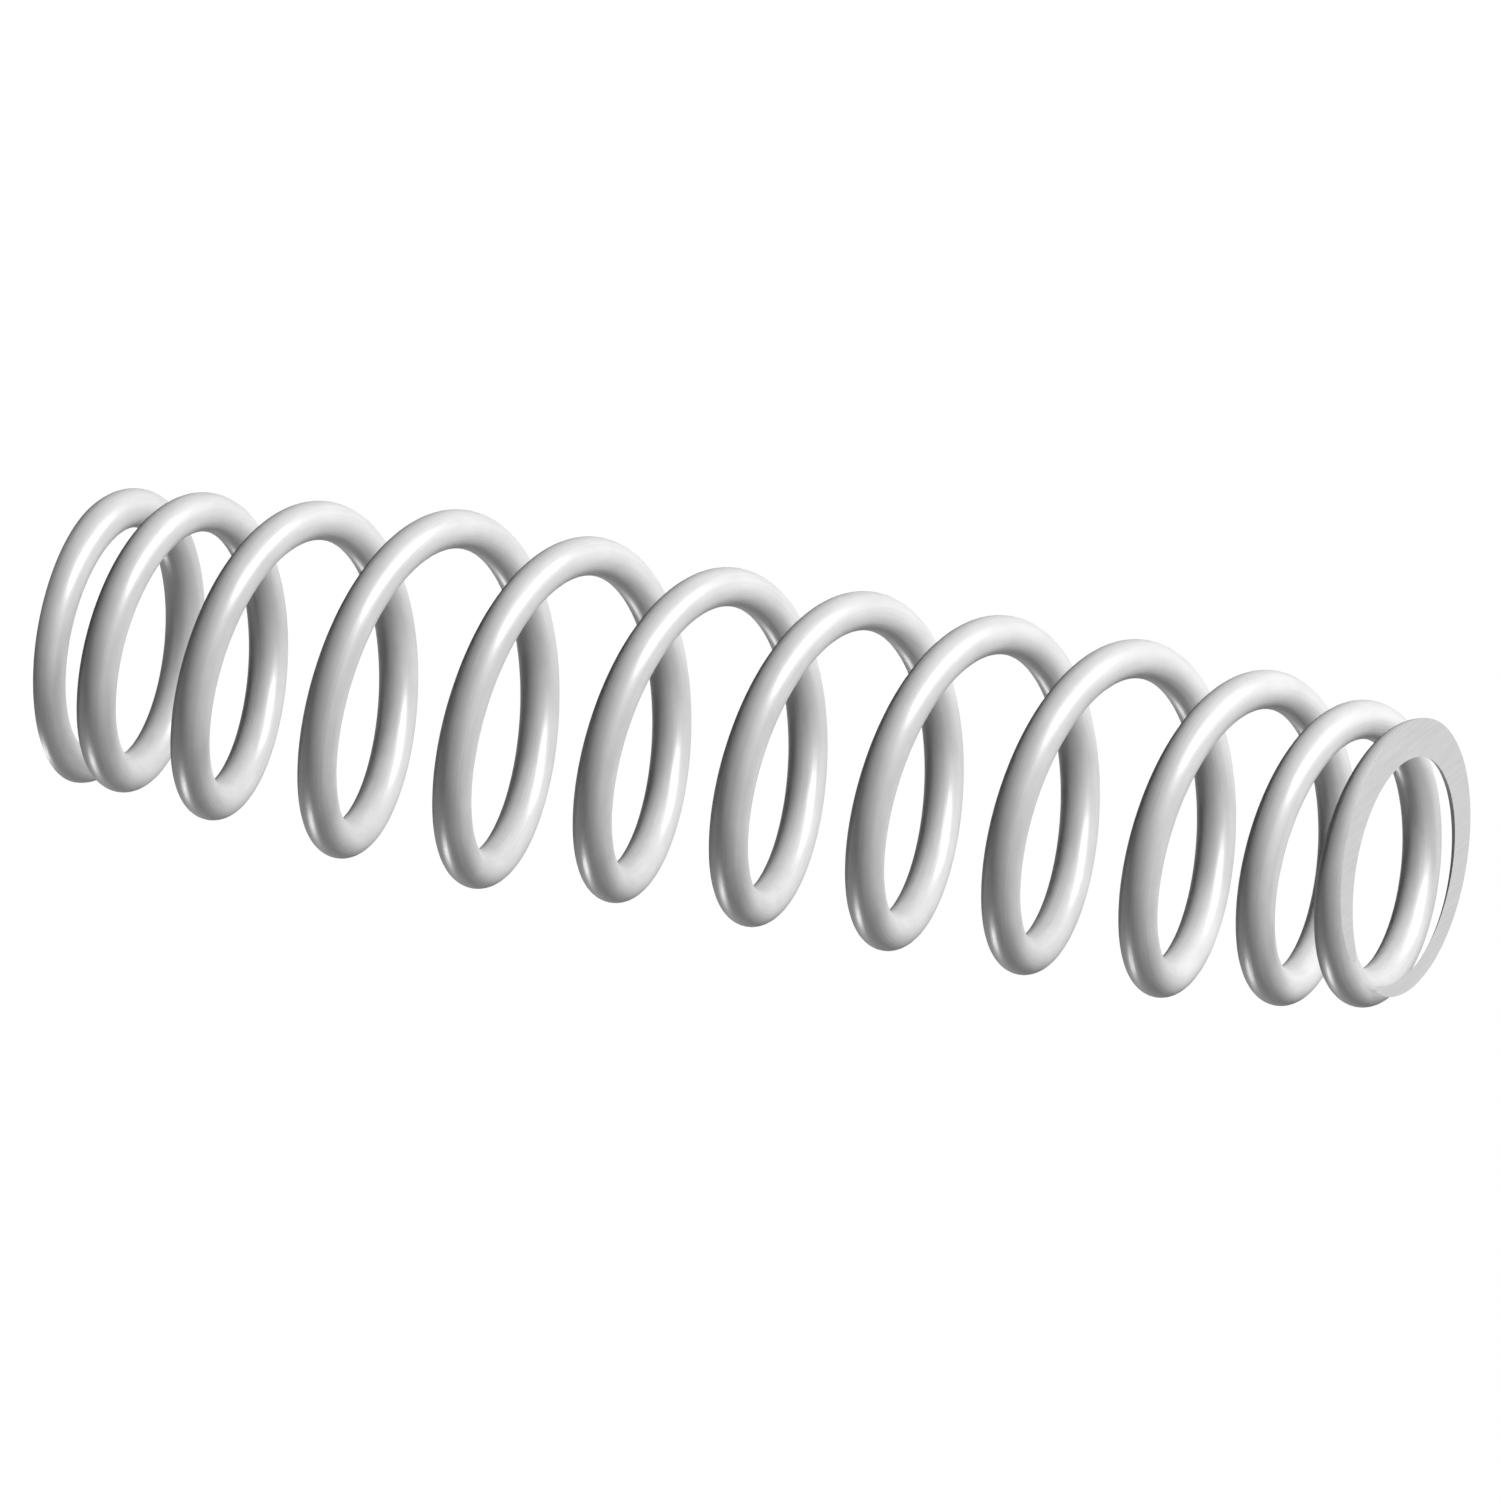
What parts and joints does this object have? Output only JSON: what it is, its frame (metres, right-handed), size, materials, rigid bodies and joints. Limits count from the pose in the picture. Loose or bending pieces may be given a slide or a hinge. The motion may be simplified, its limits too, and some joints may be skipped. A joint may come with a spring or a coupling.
{
  "type": "compression spring",
  "caption": "Small left-hand compression spring of round wire, with drawn-in, closed and ground end coils and an open bore.",
  "frame": {"origin": "on the spring's axis, in the ground plane of the foot, the end it stands on", "axes": "+Z along the spring's axis from the foot to the head, +X towards the tip of the wire at the foot"},
  "size_m": [0.0118, 0.0118, 0.0464],
  "materials": {
    "spring_steel": "bright drawn spring steel with a satin sheen, and flat ground ends"
  },
  "bodies": {
    "root": {"spring_wire": "spring_steel"}
  },
  "joints": []
}
